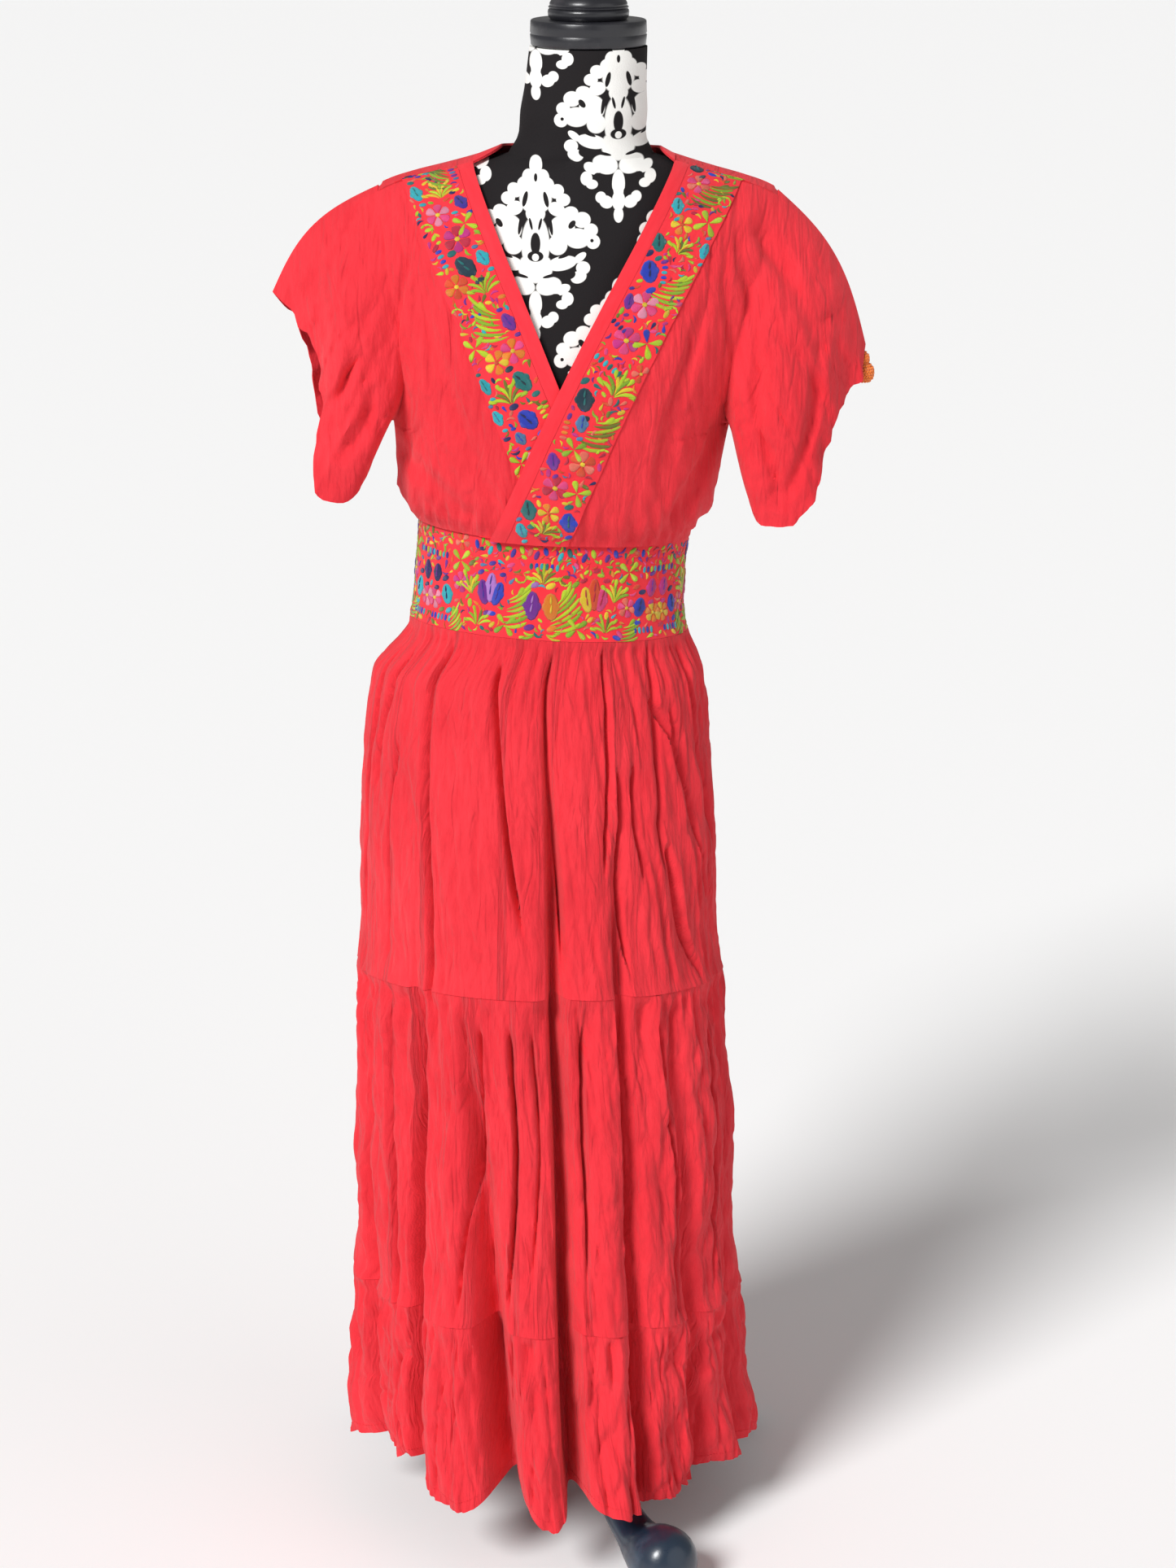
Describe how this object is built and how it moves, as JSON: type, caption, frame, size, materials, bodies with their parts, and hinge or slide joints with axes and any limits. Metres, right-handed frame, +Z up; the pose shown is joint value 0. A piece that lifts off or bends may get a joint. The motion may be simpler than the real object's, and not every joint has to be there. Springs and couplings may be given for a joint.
{
  "type": "embroidered dress on a dress form",
  "caption": "Red crinkled wrap-front maxi dress with embroidered neck bands and waistband and a tiered skirt, on a damask-covered dress form with a turned stand.",
  "frame": {"origin": "on the floor, under the middle of the whole part's box", "axes": "+Z up, the dress's front towards -Y, the wearer's left towards +X"},
  "size_m": [0.5622, 0.4706, 1.562],
  "materials": {
    "red_gauze": "matte crinkled gauze",
    "embroidered_band": "red cotton covered in coloured satin-stitch embroidery",
    "orange_yarn": "matte crocheted yarn",
    "form_cover": "matte black cover with a white damask pattern",
    "painted_wood": "black satin paint"
  },
  "bodies": {
    "root": {"back": "red_gauze", "band_left": "embroidered_band", "band_right": "embroidered_band", "base_plate": "painted_wood", "binding_back": "red_gauze", "binding_left": "red_gauze", "binding_right": "red_gauze", "finial": "painted_wood", "form_torso": "form_cover", "front_left": "red_gauze", "front_right": "red_gauze", "hub": "painted_wood", "leg_1": "painted_wood", "leg_2": "painted_wood", "leg_3": "painted_wood", "neck_cap": "painted_wood", "pole": "painted_wood", "skirt_lower": "red_gauze", "skirt_middle": "red_gauze", "skirt_upper": "red_gauze", "tassel": "orange_yarn", "waistband": "embroidered_band", "yoke": "red_gauze"}
  },
  "joints": []
}
